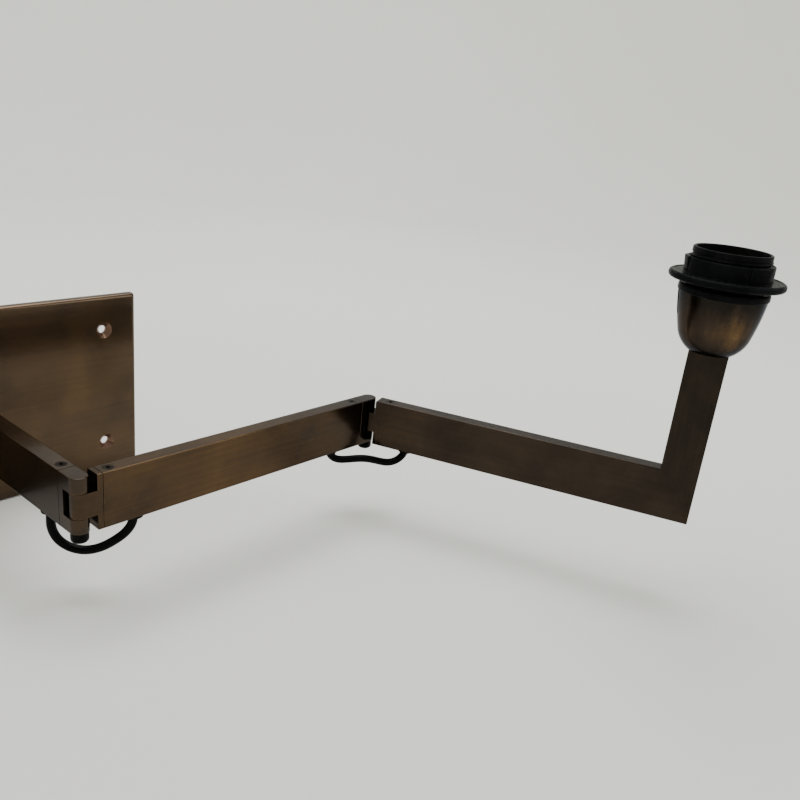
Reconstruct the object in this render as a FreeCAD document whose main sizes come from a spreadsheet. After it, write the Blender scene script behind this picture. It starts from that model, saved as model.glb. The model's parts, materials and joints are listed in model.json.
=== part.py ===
import FreeCAD, Part

import math
import os
import re

import Sketcher
from FreeCAD import Placement, Rotation, Vector

# A wall sconce with two swinging arms.
# The frame is +Z up, millimetres, with the origin at the centre of the wall plate's back face.
# The wall is the plane y = 0, the room is on the -Y side, and z = 0 is the arms' middle height.
# A short stub stands out from the plate. The inner arm turns on the stub's fork, the outer arm
# turns on the inner arm's fork and rises in a post, and the lampholder stands on the post.

DIMENSIONS = {
    # wall plate
    "plate_wide": 230,
    "plate_tall": 123,
    "plate_thick": 4.5,
    "plate_corner": 2,
    "plate_edge": 2.6,
    "wall_hole_out": 92.5,
    "wall_hole_up": 39,
    "wall_hole": 2.6,
    "wall_sink": 5.3,
    "inlet_hole": 3.2,
    "inlet_bore": 2.5,
    # rectangular arm tube, the reach from pivot to pivot and from pivot to post, and the turn of
    # each arm about Z
    "arm_tall": 30,
    "arm_wide": 9.5,
    "arm_wall": 1.5,
    "arm_edge": 0.5,
    "stub_reach": 134.5,
    "arm_reach": 198.6,
    "post_reach": 195.9,
    "inner_turn": -1,
    "outer_turn": -71,
    # post and its head
    "post_wide": 20.8,
    "post_top": 84.5,
    "head_plate": 2,
    "head_depth": 14,
    "stud": 4,
    "stud_top": 95,
    # mount block between the plate and the stub
    "block_long": 14,
    "block_screw_up": 9,
    "block_screw_long": 12,
    # fork and tongue of a knuckle, measured along the arm from the pivot
    "fork_seam": 10.4,
    "fork_web": 5.85,
    "tab_end": 4.75,
    "tab_round": 4.7,
    "fork_gap": 14,
    "nose_end": 4.1,
    "nose_round": 4.2,
    "tongue_tall": 13,
    "tongue_face": 7.3,
    "tongue_seam": 10.4,
    "spigot_long": 12.5,
    "spigot_play": 0.1,
    "washer_thick": 0.45,
    "washer": 4.4,
    "pin": 2.5,
    "pin_gap": 0.05,
    "pin_top": 12,
    "pin_bottom": -18.2,
    "bush": 3.3,
    "cap": 4.4,
    "cap_deep": 5.4,
    # clamping screws in the top face beside each knuckle
    "screw_out": 15.5,
    "screw_head": 2.9,
    "screw_shank": 1.5,
    "screw_cone": 1.2,
    "screw_long": 9,
    "screw_hex": 1.2,
    "screw_hex_deep": 1.4,
    "screw_gap": 0.05,
    # rubber glands in the bottom face beside each knuckle
    "gland_out": 28.5,
    "arm_gland_out": 32.8,
    "tongue_gland_out": 29.2,
    "gland_neck": 3.7,
    "gland_lip": 4.7,
    "gland_lip_thick": 1.3,
    "gland_bore": 2.5,
    "gland_mouth": 3.7,
    "gland_barb": 3.2,
    "gland_tip": 2.9,
    "lead": 2.35,
    # lampholder cup
    "cup_mouth": 22.8,
    "cup_foot": 11.4,
    "cup_base": 86.5,
    "cup_top": 118,
    "cup_shoulder": 18.6,
    "cup_shoulder_up": 96,
    "cup_round": 17.4,
    "cup_bow": 134,
    "cup_wall": 1.2,
    "cup_slot_wide": 5,
    "cup_slot_deep": 13,
    "cup_slot_turn": 190,
    "nut_size": 7.5,
    "nut_thick": 4.5,
    # lampholder
    "insert": 18.2,
    "insert_base": 100.5,
    "insert_floor": 109,
    "insert_top": 112,
    "shell": 13.4,
    "shell_wall": 0.5,
    "shell_top": 135.5,
    "shell_lip": 10,
    "contact_wide": 7,
    "contact_sheet": 0.8,
    "contact_root": 7,
    "contact_tip": 3.5,
    "contact_dome": 2.8,
    "contact_crown": 1.8,
    "contact_top": 110.3,
    "wire_hole_out": 6.5,
    "terminal_out": 12.5,
    "terminal": 1.6,
    "terminal_head": 2.6,
    "sleeve_bore": 18.4,
    "sleeve_foot": 19.3,
    "sleeve_seat": 21,
    "sleeve_bottom": 105,
    "rim": 23.4,
    "rim_thick": 4,
    "neck": 20.2,
    "neck_top": 141.7,
    # shade ring
    "ring": 29.7,
    "ring_bottom": 124.4,
    "ring_thick": 3.9,
    "ring_edge": 1.5,
    "ring_bore": 20.5,
    "hub": 22.3,
    "hub_top": 136.4,
    "lug": 23.2,
    "lug_wide": 11.6,
    "lug_count": 3,
}

# The flexible leads under the knuckles. Each point is the distance along the straight line
# between the two glands, and the height. The last two stand under the far gland, so their
# distances count from there.
INNER_LOOP = [
    (0, -11.5),
    (0, -18.3),
    (-0.3, -25.8),
    (2.9, -32.8),
    (9.2, -37.1),
    (16.7, -38.2),
    (24.2, -36),
    (31, -31.5),
    (37.2, -26),
    (0, -18.9),
    (0, -11.5),
]
OUTER_LOOP = [
    (0, -11.5),
    (0, -15.7),
    (2.4, -19.4),
    (6.6, -21.3),
    (12, -21.3),
    (19, -20.7),
    (26.1, -21),
    (33.1, -22.8),
    (39.3, -24.2),
    (44.5, -23.2),
    (48.7, -20),
    (0, -15.7),
    (0, -11.5),
]

# The leads inside the tubes. Each point is the distance along the link from its pivot, and the
# height. They meet the loops in the glands.
STUB_ROUTE = [
    (-139, 0),
    (-112, 0),
    (-85, 2.5),
    (-60, 1),
    (-47, 3.6),
    (-37.4, 2.8),
    (-31.2, -0.6),
    (-28.5, -5.8),
    (-28.5, -11.5),
]
INNER_ARM_ROUTE = [
    (29.2, -11.5),
    (29.2, -5.8),
    (31.9, -0.6),
    (38.1, 2.8),
    (49, 3.6),
    (74, 1.5),
    (99, 3.5),
    (124, 1),
    (145.2, 3.6),
    (156.9, 2.8),
    (163.1, -0.6),
    (165.8, -5.8),
    (165.8, -11.5),
]
OUTER_ARM_ROUTE = [
    (29.2, -11.5),
    (29.2, -5.8),
    (31.9, -0.6),
    (38.1, 2.8),
    (49, 3.6),
    (74, 1.5),
    (99, 3.5),
    (124, 1),
    (149, 2.5),
    (171, -2.5),
    (188, 1.5),
    (196, 15.5),
    (195.4, 34),
    (197.2, 53),
    (195.9, 72),
    (195.9, 95),
]

doc = FreeCAD.newDocument("swing_arm_sconce")
plan = doc.addObject("Spreadsheet::Sheet", "plan")
for row, (alias, size) in enumerate(DIMENSIONS.items(), start=1):
    plan.set(f"A{row}", alias)
    plan.set(f"B{row}", str(size))
    plan.setAlias(f"B{row}", alias)
doc.recompute()

PARTS = []


# Two places closer than SAME are one place, and the box of a curved edge is good to NEAR.
SAME = 1e-6
NEAR = 1e-3


def value(text):
    """The number that a sheet expression gives."""
    return float(plan.evalExpression(str(text)))


def bind_one(item, name, text):
    """Bind one property to an expression whose words are aliases of the sheet."""
    item.setExpression(name, re.sub(r"[a-z_]+", r"plan.\g<0>", str(text)))


def bind(item, **sizes):
    """Bind properties to sheet expressions."""
    for name, text in sizes.items():
        bind_one(item, name, text)


def new_body(label, place=None):
    """An empty body that becomes the sub-part of that name."""
    body = doc.addObject("PartDesign::Body", label)
    body.Label = label
    body.Placement = place or Placement()
    PARTS.append(body)
    return body


def solid(body, kind, at=("0", "0", "0"), turn=None, **sizes):
    """A PartDesign primitive, such as AdditiveBox, placed and sized by expressions."""
    feature = body.newObject("PartDesign::" + kind, kind)
    feature.Placement = Placement(Vector(), turn or Rotation())
    bind(feature, **sizes)
    for axis, text in zip("xyz", at):
        bind_one(feature, "Placement.Base." + axis, text)
    return feature


def slab(body, kind, x, y, z):
    """A box from its low and high expressions along each axis."""
    lows = [low for low, high in (x, y, z)]
    spans = [f"({high}) - ({low})" for low, high in (x, y, z)]
    return solid(body, kind, lows, Length=spans[0], Width=spans[1], Height=spans[2])


def middle(text):
    """The low and high expressions of a size centred on zero."""
    return f"-({text}) / 2", f"({text}) / 2"


def plane_sketch(body, role, offset="0"):
    """A sketch on one of the body's origin planes."""
    plane = [f for f in body.Origin.OriginFeatures if f.Role == role][0]
    sketch = body.newObject("Sketcher::SketchObject", "Outline")
    sketch.AttachmentSupport = [(plane, "")]
    sketch.MapMode = "FlatFace"
    bind_one(sketch, "AttachmentOffset.Base.z", offset)
    return sketch


def pin_point(sketch, curve, end, place):
    """Fix one end of a curve at a pair of sheet expressions."""
    for kind, axis, text in zip(("DistanceX", "DistanceY"), (-2, -1), place):
        if abs(value(text)) < SAME:
            sketch.addConstraint(Sketcher.Constraint("PointOnObject", curve, end, axis))
            continue
        distance = Sketcher.Constraint(kind, -1, 1, curve, end, value(text))
        index = sketch.addConstraint(distance)
        bind_one(sketch, f"Constraints[{index}]", text)


def outline(sketch, corners, arcs=None):
    """A closed outline through corners, in order round its inside on the left.

    arcs says which sides are arcs: the index of the side's first corner, then its radius and
    which way it bows, 1 outwards or -1 inwards."""
    points = [Vector(value(x), value(y), 0) for x, y in corners]
    count = len(points)
    ends = []
    for i in range(count):
        start, stop = points[i], points[(i + 1) % count]
        if i not in (arcs or {}):
            sketch.addGeometry(Part.LineSegment(start, stop))
            ends.append((1, 2))
            continue
        radius, bows = arcs[i]
        chord = stop - start
        half = chord.Length / 2
        rise = value(radius) - math.sqrt(value(radius) ** 2 - half**2)
        left = Vector(-chord.y, chord.x, 0).normalize()
        bow = (start + stop) / 2 - left * rise * bows
        sketch.addGeometry(Part.Arc(start, bow, stop))
        ends.append((1, 2) if sketch.getPoint(i, 1).distanceToPoint(start) < SAME else (2, 1))
        sketch.addConstraint(Sketcher.Constraint("Radius", i, value(radius)))
        bind_one(sketch, f"Constraints[{sketch.ConstraintCount - 1}]", radius)
    for i in range(count):
        after = (i + 1) % count
        joint = Sketcher.Constraint("Coincident", i, ends[i][1], after, ends[after][0])
        sketch.addConstraint(joint)
        pin_point(sketch, i, ends[i][0], corners[i])


def frame_outline(sketch, wide, tall, wall=None):
    """A rectangle centred on the sketch's origin, with an inner one when it has a wall."""
    for shrink in ("0", wall) if wall else ("0",):
        x = f"({wide}) / 2 - ({shrink})"
        y = f"({tall}) / 2 - ({shrink})"
        first = sketch.GeometryCount
        corners = [(f"-({x})", f"-({y})"), (x, f"-({y})"), (x, y), (f"-({x})", y)]
        points = [Vector(value(a), value(b), 0) for a, b in corners]
        for start, stop in zip(points, points[1:] + points[:1]):
            sketch.addGeometry(Part.LineSegment(start, stop))
        for i in range(4):
            after = first + (i + 1) % 4
            sketch.addConstraint(Sketcher.Constraint("Coincident", first + i, 2, after, 1))
            pin_point(sketch, first + i, 1, corners[i])


def pad(body, sketch, length, centred=False):
    """Pad a sketch by a length, to one side or both."""
    feature = body.newObject("PartDesign::Pad", "Pad")
    feature.Profile = sketch
    if centred:
        feature.SideType = "Symmetric"
    bind(feature, Length=length)
    return feature


def revolve(body, corners, arcs=None):
    """Turn an outline of radii and heights about the body's Z axis."""
    sketch = plane_sketch(body, "XZ_Plane")
    outline(sketch, corners, arcs)
    feature = body.newObject("PartDesign::Revolution", "Revolution")
    feature.Profile = sketch
    feature.ReferenceAxis = (sketch, ["V_Axis"])
    feature.Angle = 360
    return feature


def round_edges(body, radius, chosen):
    """Fillet the edges of the body's last feature that the test picks."""
    doc.recompute()
    base = body.Tip
    names = [f"Edge{i}" for i, edge in enumerate(base.Shape.Edges, start=1) if chosen(edge)]
    feature = body.newObject("PartDesign::Fillet", "Fillet")
    feature.Base = (base, names)
    bind(feature, Radius=radius)
    return feature


def reach_along(edge, axis):
    """The lowest and highest place of an edge along an axis."""
    box = edge.BoundBox
    return {"x": (box.XMin, box.XMax), "y": (box.YMin, box.YMax), "z": (box.ZMin, box.ZMax)}[axis]


def lies_in(edge, axis, place):
    """Whether an edge lies in the plane at that place along an axis."""
    return all(abs(end - place) < SAME for end in reach_along(edge, axis))


def in_planes(*planes):
    """A test for edges that lie in any of the planes, each an axis and a place."""
    return lambda edge: any(lies_in(edge, axis, place) for axis, place in planes)


def long_corners(across, half_wide, up, half_tall):
    """A test for the four long outer edges of a straight rectangular bar."""

    def chosen(edge):
        return any(
            lies_in(edge, across, side * half_wide) and lies_in(edge, up, end * half_tall)
            for side in (1, -1)
            for end in (1, -1)
        )

    return chosen


def upright_at(x):
    """A test for straight vertical edges at a distance x along the arm."""
    return lambda edge: lies_in(edge, "x", x) and edge.BoundBox.YLength < SAME


def ring_at(z, radius):
    """A test for circles of that height and radius about the Z axis."""
    return lambda edge: lies_in(edge, "z", z) and abs(edge.BoundBox.XMax - radius) < NEAR


# Where the links stand: the pivots, the post, and the turn of each link about Z.


def spot(x, y, turn):
    return Placement(Vector(x, y, 0), Rotation(Vector(0, 0, 1), turn))


def further(place, distance):
    """The point that lies a distance along a link from its own origin."""
    return place.multVec(Vector(distance, 0, 0))


wall_to_pivot = value("plate_thick + stub_reach")
stub_end = spot(0, -wall_to_pivot, -90)
inner_start = spot(0, -wall_to_pivot, value("inner_turn"))
inner_end_point = further(inner_start, value("arm_reach"))
inner_end = spot(inner_end_point.x, inner_end_point.y, value("inner_turn"))
outer_start = spot(inner_end_point.x, inner_end_point.y, value("outer_turn"))
post_point = further(outer_start, value("post_reach"))
post_place = spot(post_point.x, post_point.y, value("outer_turn"))
ring_place = spot(post_point.x, post_point.y, 0)

BORE_TALL = "arm_tall - 2 * arm_wall"
BORE_WIDE = "arm_wide - 2 * arm_wall"
PLUG_TALL = f"{BORE_TALL} - 2 * spigot_play"
PLUG_WIDE = f"{BORE_WIDE} - 2 * spigot_play"
UNDERSIDE = "-arm_tall / 2"
ALONG_X = Rotation(Vector(0, 1, 0), 90)
ALONG_Y = Rotation(Vector(1, 0, 0), -90)


def drill(body, radius, x, y, low, high):
    """A round vertical hole between two heights."""
    return solid(
        body, "SubtractiveCylinder", (x, y, low), Radius=radius, Height=f"({high}) - ({low})"
    )


# Base


def backplate():
    body = new_body("backplate")
    face = plane_sketch(body, "XZ_Plane")
    frame_outline(face, "plate_wide", "plate_tall")
    pad(body, face, "plate_thick")
    front = -value("plate_thick")
    round_edges(body, "plate_corner", lambda edge: edge.BoundBox.YLength > SAME)
    round_edges(body, "plate_edge", in_planes(("y", front)))
    for x in ("wall_hole_out", "-wall_hole_out"):
        for z in ("wall_hole_up", "-wall_hole_up"):
            bore_y(body, "wall_hole", x, "-plate_thick", "0", z)
            sink_y(body, "wall_hole", "wall_sink", x, "-plate_thick", z)
    bore_y(body, "inlet_hole", "0", "-plate_thick", "0", "0")
    for z in ("block_screw_up", "-block_screw_up"):
        bore_y(body, "screw_shank + screw_gap", "0", "-plate_thick", "0", z)
        solid(
            body,
            "SubtractiveCone",
            ("0", "-screw_cone", z),
            ALONG_Y,
            Radius1="screw_shank + screw_gap",
            Radius2="screw_head + screw_gap",
            Height="screw_cone",
        )


def bore_y(body, radius, x, low, high, z):
    """A round hole along Y."""
    return solid(
        body,
        "SubtractiveCylinder",
        (x, low, z),
        ALONG_Y,
        Radius=radius,
        Height=f"({high}) - ({low})",
    )


def sink_y(body, small, large, x, front, z):
    """A right-angled countersink in a face that looks along -Y."""
    return solid(
        body,
        "SubtractiveCone",
        (x, front, z),
        ALONG_Y,
        Radius1=large,
        Radius2=small,
        Height=f"({large}) - ({small})",
    )


def inlet_bush():
    body = new_body("inlet_bush")
    solid(
        body,
        "AdditiveCylinder",
        ("0", "-plate_thick", "0"),
        ALONG_Y,
        Radius="inlet_hole",
        Height="plate_thick",
    )
    bore_y(body, "inlet_bore", "0", "-plate_thick", "0", "0")


def stub_block():
    """The solid block inside the stub's rear end, which the plate's screws hold."""
    body = new_body("stub_block")
    front = "-plate_thick - block_long"
    slab(body, "AdditiveBox", middle(PLUG_WIDE), (front, "-plate_thick"), middle(PLUG_TALL))
    bore_y(body, "inlet_bore", "0", front, "-plate_thick", "0")
    for z in ("block_screw_up", "-block_screw_up"):
        bore_y(body, "screw_shank", "0", "-block_screw_long", "-plate_thick", z)


def block_screw(label, height):
    """A countersunk screw from the back of the plate into the block."""
    body = new_body(label)
    solid(
        body,
        "AdditiveCone",
        ("0", "-screw_cone", height),
        ALONG_Y,
        Radius1="screw_shank",
        Radius2="screw_head",
        Height="screw_cone",
    )
    solid(
        body,
        "AdditiveCylinder",
        ("0", "-block_screw_long", height),
        ALONG_Y,
        Radius="screw_shank",
        Height="block_screw_long - screw_cone",
    )
    solid(
        body,
        "SubtractivePrism",
        ("0", "-screw_cone", height),
        ALONG_Y,
        Circumradius="screw_hex",
        Height="screw_cone",
    )


# Arm tubes. x runs along the arm from the pivot.


def arm_body(label, place, start, stop):
    """A straight rectangular tube between two distances along the arm."""
    body = new_body(label, place)
    section = plane_sketch(body, "YZ_Plane", start)
    frame_outline(section, "arm_wide", "arm_tall", "arm_wall")
    pad(body, section, f"({stop}) - ({start})")
    half_wide, half_tall = value("arm_wide / 2"), value("arm_tall / 2")
    round_edges(body, "arm_edge", long_corners("y", half_wide, "z", half_tall))
    return body


def screw_seat(body, x):
    """The countersunk hole for a clamping screw in the tube's top wall."""
    hole = "screw_shank + screw_gap"
    drill(body, hole, x, "0", "arm_tall / 2 - arm_wall", "arm_tall / 2")
    solid(
        body,
        "SubtractiveCone",
        (x, "0", "arm_tall / 2 - screw_cone"),
        Radius1=hole,
        Radius2="screw_head + screw_gap",
        Height="screw_cone",
    )


def gland_seat(body, x):
    """The hole for a gland in the tube's bottom wall."""
    drill(body, "gland_neck", x, "0", UNDERSIDE, f"{UNDERSIDE} + arm_wall")


def stub_tube():
    body = arm_body("stub_tube", stub_end, "-stub_reach", "-fork_seam")
    screw_seat(body, "-screw_out")
    gland_seat(body, "-gland_out")


def inner_arm_tube():
    body = arm_body("inner_arm_tube", inner_start, "tongue_seam", "arm_reach - fork_seam")
    for x in ("screw_out", "arm_reach - screw_out"):
        screw_seat(body, x)
    for x in ("tongue_gland_out", "arm_reach - arm_gland_out"):
        gland_seat(body, x)


OUTER_FACE = "post_reach + post_wide / 2"
INNER_FACE = "post_reach - post_wide / 2"


def hollow_elbow(body):
    """The L-shaped hollow that the outer arm and its post share."""
    top = "arm_tall / 2 - arm_wall"
    corners = [
        ("tongue_seam", f"{UNDERSIDE} + arm_wall"),
        (f"{OUTER_FACE} - arm_wall", f"{UNDERSIDE} + arm_wall"),
        (f"{OUTER_FACE} - arm_wall", "post_top"),
        (f"{INNER_FACE} + arm_wall", "post_top"),
        (f"{INNER_FACE} + arm_wall", top),
        ("tongue_seam", top),
    ]
    sketch = plane_sketch(body, "XZ_Plane")
    outline(sketch, corners)
    pocket = body.newObject("PartDesign::Pocket", "Pocket")
    pocket.Profile = sketch
    pocket.SideType = "Symmetric"
    bind(pocket, Length=BORE_WIDE)


def outer_arm_tube():
    """The level part of the outer arm, cut at a mitre where the post is welded on."""
    body = new_body("outer_arm_tube", outer_start)
    side = plane_sketch(body, "XZ_Plane")
    corners = [
        ("tongue_seam", UNDERSIDE),
        (OUTER_FACE, UNDERSIDE),
        (INNER_FACE, "arm_tall / 2"),
        ("tongue_seam", "arm_tall / 2"),
    ]
    outline(side, corners)
    pad(body, side, "arm_wide", centred=True)
    half_wide, half_tall = value("arm_wide / 2"), value("arm_tall / 2")
    round_edges(body, "arm_edge", long_corners("y", half_wide, "z", half_tall))
    hollow_elbow(body)
    screw_seat(body, "screw_out")
    gland_seat(body, "tongue_gland_out")


def post_tube():
    body = new_body("post_tube", outer_start)
    side = plane_sketch(body, "XZ_Plane")
    corners = [
        (OUTER_FACE, UNDERSIDE),
        (OUTER_FACE, "post_top"),
        (INNER_FACE, "post_top"),
        (INNER_FACE, "arm_tall / 2"),
    ]
    outline(side, corners)
    pad(body, side, "arm_wide", centred=True)
    faces = (value(INNER_FACE), value(OUTER_FACE))
    half_wide = value("arm_wide / 2")

    def upright_corner(edge):
        at_side = any(lies_in(edge, "y", side * half_wide) for side in (1, -1))
        return at_side and any(lies_in(edge, "x", face) for face in faces)

    round_edges(body, "arm_edge", upright_corner)
    hollow_elbow(body)


# Knuckles. A fork closes the end of one arm, and a tongue on the next arm turns in its gap.


def fork(label, place):
    """The fork points along +x from its arm and its pivot is the local origin."""
    body = new_body(label, place)
    side = plane_sketch(body, "XZ_Plane")
    corners = [
        ("-fork_seam", UNDERSIDE),
        ("tab_end", UNDERSIDE),
        ("tab_end", "-fork_gap / 2"),
        ("-fork_web", "-fork_gap / 2"),
        ("-fork_web", "fork_gap / 2"),
        ("tab_end", "fork_gap / 2"),
        ("tab_end", "arm_tall / 2"),
        ("-fork_seam", "arm_tall / 2"),
    ]
    outline(side, corners)
    pad(body, side, "arm_wide", centred=True)
    round_edges(body, "tab_round", upright_at(value("tab_end")))
    top = value("arm_tall / 2")
    round_edges(body, "arm_edge", in_planes(("z", top), ("z", -top), ("x", -value("fork_seam"))))
    inside = ("-fork_seam - spigot_long", "-fork_seam")
    slab(body, "AdditiveBox", inside, middle(PLUG_WIDE), middle(PLUG_TALL))
    drill(body, "pin", "0", "0", UNDERSIDE, "pin_top")
    drill(body, "screw_shank", "-screw_out", "0", "arm_tall / 2 - screw_long", "arm_tall / 2")


def tongue(label, place):
    """The tongue's arm runs along +x and its pivot is the local origin."""
    body = new_body(label, place)
    slab(
        body,
        "AdditiveBox",
        ("-nose_end", "tongue_face"),
        middle("arm_wide"),
        middle("tongue_tall"),
    )
    round_edges(body, "nose_round", upright_at(-value("nose_end")))
    slab(
        body,
        "AdditiveBox",
        ("tongue_face", "tongue_seam"),
        middle("arm_wide"),
        middle("arm_tall"),
    )
    top = value("arm_tall / 2")
    round_edges(body, "arm_edge", in_planes(("z", top), ("z", -top), ("x", value("tongue_seam"))))
    inside = ("tongue_seam", "tongue_seam + spigot_long")
    slab(body, "AdditiveBox", inside, middle(PLUG_WIDE), middle(PLUG_TALL))
    drill(body, "bush", "0", "0", "-tongue_tall / 2", "tongue_tall / 2")
    drill(body, "screw_shank", "screw_out", "0", "arm_tall / 2 - screw_long", "arm_tall / 2")


def pivot_bush(label, place):
    """The bronze bush pressed into the tongue."""
    body = new_body(label, place)
    low = "-tongue_tall / 2"
    solid(body, "AdditiveCylinder", ("0", "0", low), Radius="bush", Height="tongue_tall")
    drill(body, "pin + pin_gap", "0", "0", low, "tongue_tall / 2")


def pivot_washer(label, place, low):
    """A plastic washer between the tongue and one tab."""
    body = new_body(label, place)
    solid(body, "AdditiveCylinder", ("0", "0", low), Radius="washer", Height="washer_thick")
    drill(body, "pin + pin_gap", "0", "0", low, f"{low} + washer_thick")


def pivot_pin(label, place):
    body = new_body(label, place)
    long = "pin_top - pin_bottom"
    solid(body, "AdditiveCylinder", ("0", "0", "pin_bottom"), Radius="pin", Height=long)


def pivot_cap(label, place):
    """The black cap nut that closes the pin's lower end."""
    body = new_body(label, place)
    low = f"{UNDERSIDE} - cap_deep"
    solid(body, "AdditiveCylinder", ("0", "0", low), Radius="cap", Height="cap_deep")
    round_edges(body, "cap_deep / 3", ring_at(value(low), value("cap")))
    drill(body, "pin", "0", "0", "pin_bottom", UNDERSIDE)


def clamp_screw(label, place, x):
    """A countersunk socket screw through the tube's top wall into a spigot."""
    body = new_body(label, place)
    top = "arm_tall / 2"
    solid(
        body,
        "AdditiveCone",
        (x, "0", f"{top} - screw_cone"),
        Radius1="screw_shank",
        Radius2="screw_head",
        Height="screw_cone",
    )
    shank = "screw_long - screw_cone"
    low = f"{top} - screw_long"
    solid(body, "AdditiveCylinder", (x, "0", low), Radius="screw_shank", Height=shank)
    solid(
        body,
        "SubtractivePrism",
        (x, "0", f"{top} - screw_hex_deep"),
        Circumradius="screw_hex",
        Height="screw_hex_deep",
    )


def gland(label, place, x):
    """A rubber gland, with a trumpet mouth, that a lead leaves the tube by."""
    body = new_body(label, place)
    low = f"{UNDERSIDE} - gland_lip_thick"
    high = f"{UNDERSIDE} + arm_wall"
    lip = "gland_lip_thick"
    solid(body, "AdditiveCylinder", (x, "0", low), Radius="gland_lip", Height=lip)
    round_edges(body, f"{lip} / 2", in_planes(("z", value(low))))
    solid(body, "AdditiveCylinder", (x, "0", UNDERSIDE), Radius="gland_neck", Height="arm_wall")
    solid(
        body,
        "AdditiveCone",
        (x, "0", high),
        Radius1="gland_barb",
        Radius2="gland_tip",
        Height=lip,
    )
    drill(body, "gland_bore", x, "0", low, f"{high} + {lip}")
    solid(
        body,
        "SubtractiveCone",
        (x, "0", low),
        Radius1="gland_mouth",
        Radius2="gland_bore",
        Height=f"{lip} + arm_wall",
    )


# Post head, cup and lampholder. Their local z axis is the post's middle line.


def post_head():
    """The plug in the post's top, with a hollow stud that holds the cup."""
    body = new_body("post_head", post_place)
    top = "post_top + head_plate"
    slab(body, "AdditiveBox", middle("post_wide"), middle("arm_wide"), ("post_top", top))
    plug = middle("post_wide - 2 * arm_wall - 2 * spigot_play")
    slab(body, "AdditiveBox", plug, middle(PLUG_WIDE), ("post_top - head_depth", "post_top"))
    solid(body, "AdditiveCylinder", ("0", "0", top), Radius="stud", Height=f"stud_top - ({top})")
    drill(body, "gland_bore", "0", "0", "post_top - head_depth", "stud_top")


def lamp_cup():
    """The bell-shaped metal cup: a flat foot, a tight arc to the shoulder and a long arc up."""
    body = new_body("lamp_cup", post_place)
    wall = "cup_wall"
    bore = "stud + screw_gap"
    corners = [
        (bore, "cup_base"),
        ("cup_foot", "cup_base"),
        ("cup_shoulder", "cup_shoulder_up"),
        ("cup_mouth", "cup_top"),
        (f"cup_mouth - {wall}", "cup_top"),
        (f"cup_shoulder - {wall}", "cup_shoulder_up"),
        (f"cup_foot - {wall} / 2", f"cup_base + {wall}"),
        (bore, f"cup_base + {wall}"),
    ]
    arcs = {
        1: ("cup_round", 1),
        2: ("cup_bow", 1),
        4: (f"cup_bow - {wall}", -1),
        5: (f"cup_round - {wall}", -1),
    }
    revolve(body, corners, arcs)
    turn = Rotation(Vector(0, 0, 1), value("cup_slot_turn"))
    aside = turn.multVec(Vector(0, -value("cup_slot_wide") / 2, 0))
    solid(
        body,
        "SubtractiveBox",
        (aside.x, aside.y, "cup_top - cup_slot_deep"),
        turn,
        Length="2 * cup_mouth",
        Width="cup_slot_wide",
        Height="cup_slot_deep",
    )


def cup_nut():
    body = new_body("cup_nut", post_place)
    low = "cup_base + cup_wall"
    at = ("0", "0", low)
    solid(body, "AdditivePrism", at, Polygon="6", Circumradius="nut_size", Height="nut_thick")
    drill(body, "stud + screw_gap", "0", "0", low, f"{low} + nut_thick")


def lamp_insert():
    """The insulating block: a floor for the centre contact and a collar for the screw shell."""
    body = new_body("lamp_insert", post_place)
    corners = [
        ("0", "insert_base"),
        ("insert", "insert_base"),
        ("insert", "insert_top"),
        ("shell_lip", "insert_top"),
        ("shell_lip", "insert_floor"),
        ("0", "insert_floor"),
    ]
    revolve(body, corners)
    for x in ("wire_hole_out", "-wire_hole_out"):
        drill(body, "terminal", x, "0", "insert_base", "insert_floor")
    for x in ("terminal_out", "-terminal_out"):
        drill(body, "terminal", x, "0", "insert_base", "insert_top")


def terminal_screw(label, x):
    """A terminal screw up through the insulating block, with its head underneath."""
    body = new_body(label, post_place)
    head = "insert_base - terminal"
    long = "insert_top - insert_base"
    solid(body, "AdditiveCylinder", (x, "0", "insert_base"), Radius="terminal", Height=long)
    solid(body, "AdditiveCylinder", (x, "0", head), Radius="terminal_head", Height="terminal")
    across = (f"{x} - terminal_head", f"{x} + terminal_head")
    slab(body, "SubtractiveBox", across, middle("terminal / 3"), (head, f"{head} + terminal / 2"))


def screw_shell():
    """The thin metal shell that the bulb's cap screws into."""
    body = new_body("screw_shell", post_place)
    outer = "shell + shell_wall"
    lip = "insert_top + shell_wall"
    corners = [
        ("shell_lip", "insert_top"),
        (outer, "insert_top"),
        (outer, "shell_top"),
        ("shell", "shell_top"),
        ("shell", lip),
        ("shell_lip", lip),
    ]
    revolve(body, corners)


def centre_contact():
    """The sprung tongue under the bulb's tip: an upright root, a flat strip and a dome."""
    body = new_body("centre_contact", post_place)
    across = middle("contact_wide")
    strip = ("contact_top - contact_sheet", "contact_top")
    slab(body, "AdditiveBox", ("-contact_root", "contact_tip"), across, strip)
    root = ("-contact_root", "-contact_root + contact_sheet")
    slab(body, "AdditiveBox", root, across, ("insert_floor", "contact_top"))
    solid(
        body,
        "AdditiveCone",
        ("0", "0", "contact_top"),
        Radius1="contact_dome",
        Radius2="contact_crown",
        Height="contact_sheet",
    )


def lamp_sleeve():
    """The black sleeve: a foot inside the cup, a rim on its mouth and the neck for the ring."""
    body = new_body("lamp_sleeve", post_place)
    rim_top = "cup_top + rim_thick"
    corners = [
        ("sleeve_bore", "sleeve_bottom"),
        ("sleeve_foot", "sleeve_bottom"),
        ("sleeve_seat", "cup_top"),
        ("rim", "cup_top"),
        ("rim", rim_top),
        ("neck", rim_top),
        ("neck", "neck_top"),
        ("sleeve_bore", "neck_top"),
    ]
    revolve(body, corners)


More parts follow.
